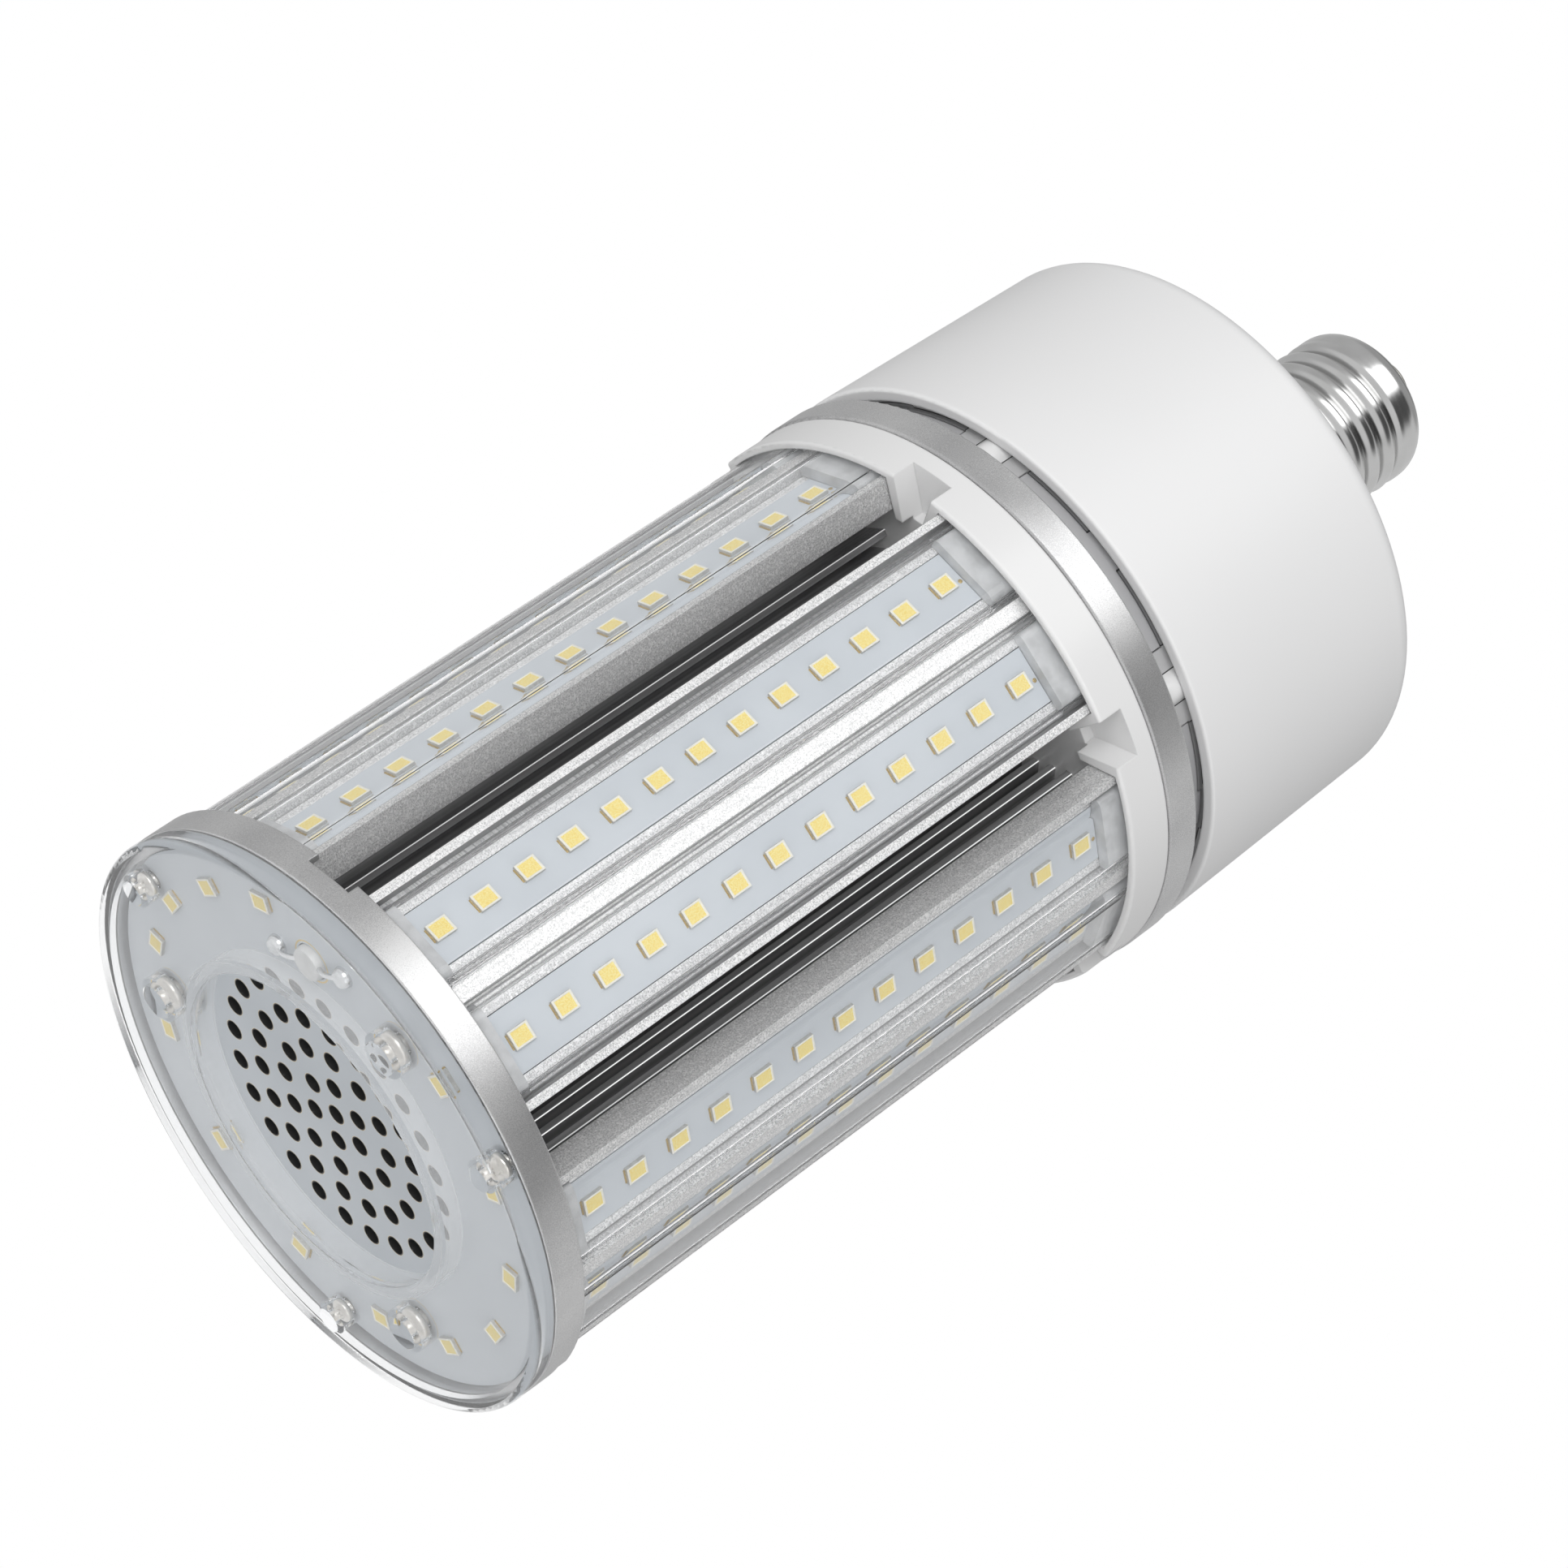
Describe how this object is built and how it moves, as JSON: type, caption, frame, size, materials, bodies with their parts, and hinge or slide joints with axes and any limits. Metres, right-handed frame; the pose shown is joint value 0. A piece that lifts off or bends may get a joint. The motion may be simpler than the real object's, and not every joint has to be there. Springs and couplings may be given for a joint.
{
  "type": "corn led bulb",
  "caption": "Screw-base corn LED bulb with clear-covered strips of square LEDs round open aluminium heat sinks, a vented LED end board, a white collar, silver rings and a white driver housing.",
  "frame": {"origin": "centre of the clear end cover's face, which the lamp stands on", "axes": "+Z along the lamp's axis, from the clear end cover to the contact of the screw base; +X through the middle of one pair of LED strips; +Y through a cooling slot"},
  "size_m": [0.0946, 0.0946, 0.2286],
  "materials": {
    "clear_cover": "clear, polished",
    "clear_strip": "clear, extruded",
    "screw_steel": "nickel plated",
    "white_board": "white solder mask",
    "led_phosphor": "yellow phosphor in a cream frame",
    "solder": "bright solder",
    "silicone": "glossy silicone",
    "mesh_wire": "fine dark mesh",
    "silver_ring": "silver paint, satin",
    "end_silicone": "translucent",
    "white_collar": "white, glossy",
    "silver_trim": "silver paint, satin",
    "grey_plastic": "light grey, moulded",
    "white_housing": "white, fine matte",
    "nickel_shell": "bright nickel",
    "base_insulation": "black glass-like",
    "contact_metal": "tinned",
    "driver_laminate": "green laminate",
    "ferrite": "dark, dull",
    "capacitor_sleeve": "shrunk sleeve",
    "choke_wire": "enamelled copper winding",
    "sandblasted_aluminium": "extruded and sandblasted"
  },
  "bodies": {
    "root": {"end_cover": "clear_cover", "end_screws": "screw_steel", "end_board": "white_board", "end_board_leds": "led_phosphor", "solder_joints": "solder", "lead_seal": "silicone", "dust_mesh": "mesh_wire", "end_frame": "silver_ring", "strip_seals": "end_silicone", "collar": "white_collar", "trim_ring": "silver_trim", "neck_base": "grey_plastic", "housing_lid": "grey_plastic", "driver_housing": "white_housing", "screw_shell": "nickel_shell", "base_insulator": "base_insulation", "base_contact": "contact_metal", "driver_board": "driver_laminate", "driver_transformer": "ferrite", "driver_capacitors": "capacitor_sleeve", "driver_choke": "choke_wire", "driver_rectifier": "ferrite", "heat_sink_1": "sandblasted_aluminium", "pair_leds_1": "led_phosphor", "heat_sink_2": "sandblasted_aluminium", "pair_leds_2": "led_phosphor", "heat_sink_3": "sandblasted_aluminium", "pair_leds_3": "led_phosphor", "heat_sink_4": "sandblasted_aluminium", "pair_leds_4": "led_phosphor", "heat_sink_5": "sandblasted_aluminium", "pair_leds_5": "led_phosphor", "heat_sink_6": "sandblasted_aluminium", "pair_leds_6": "led_phosphor", "strip_board_01": "white_board", "strip_cover_01": "clear_strip", "strip_board_02": "white_board", "strip_cover_02": "clear_strip", "strip_board_03": "white_board", "strip_cover_03": "clear_strip", "strip_board_04": "white_board", "strip_cover_04": "clear_strip", "strip_board_05": "white_board", "strip_cover_05": "clear_strip", "strip_board_06": "white_board", "strip_cover_06": "clear_strip", "strip_board_07": "white_board", "strip_cover_07": "clear_strip", "strip_board_08": "white_board", "strip_cover_08": "clear_strip", "strip_board_09": "white_board", "strip_cover_09": "clear_strip", "strip_board_10": "white_board", "strip_cover_10": "clear_strip", "strip_board_11": "white_board", "strip_cover_11": "clear_strip", "strip_board_12": "white_board", "strip_cover_12": "clear_strip"}
  },
  "joints": []
}
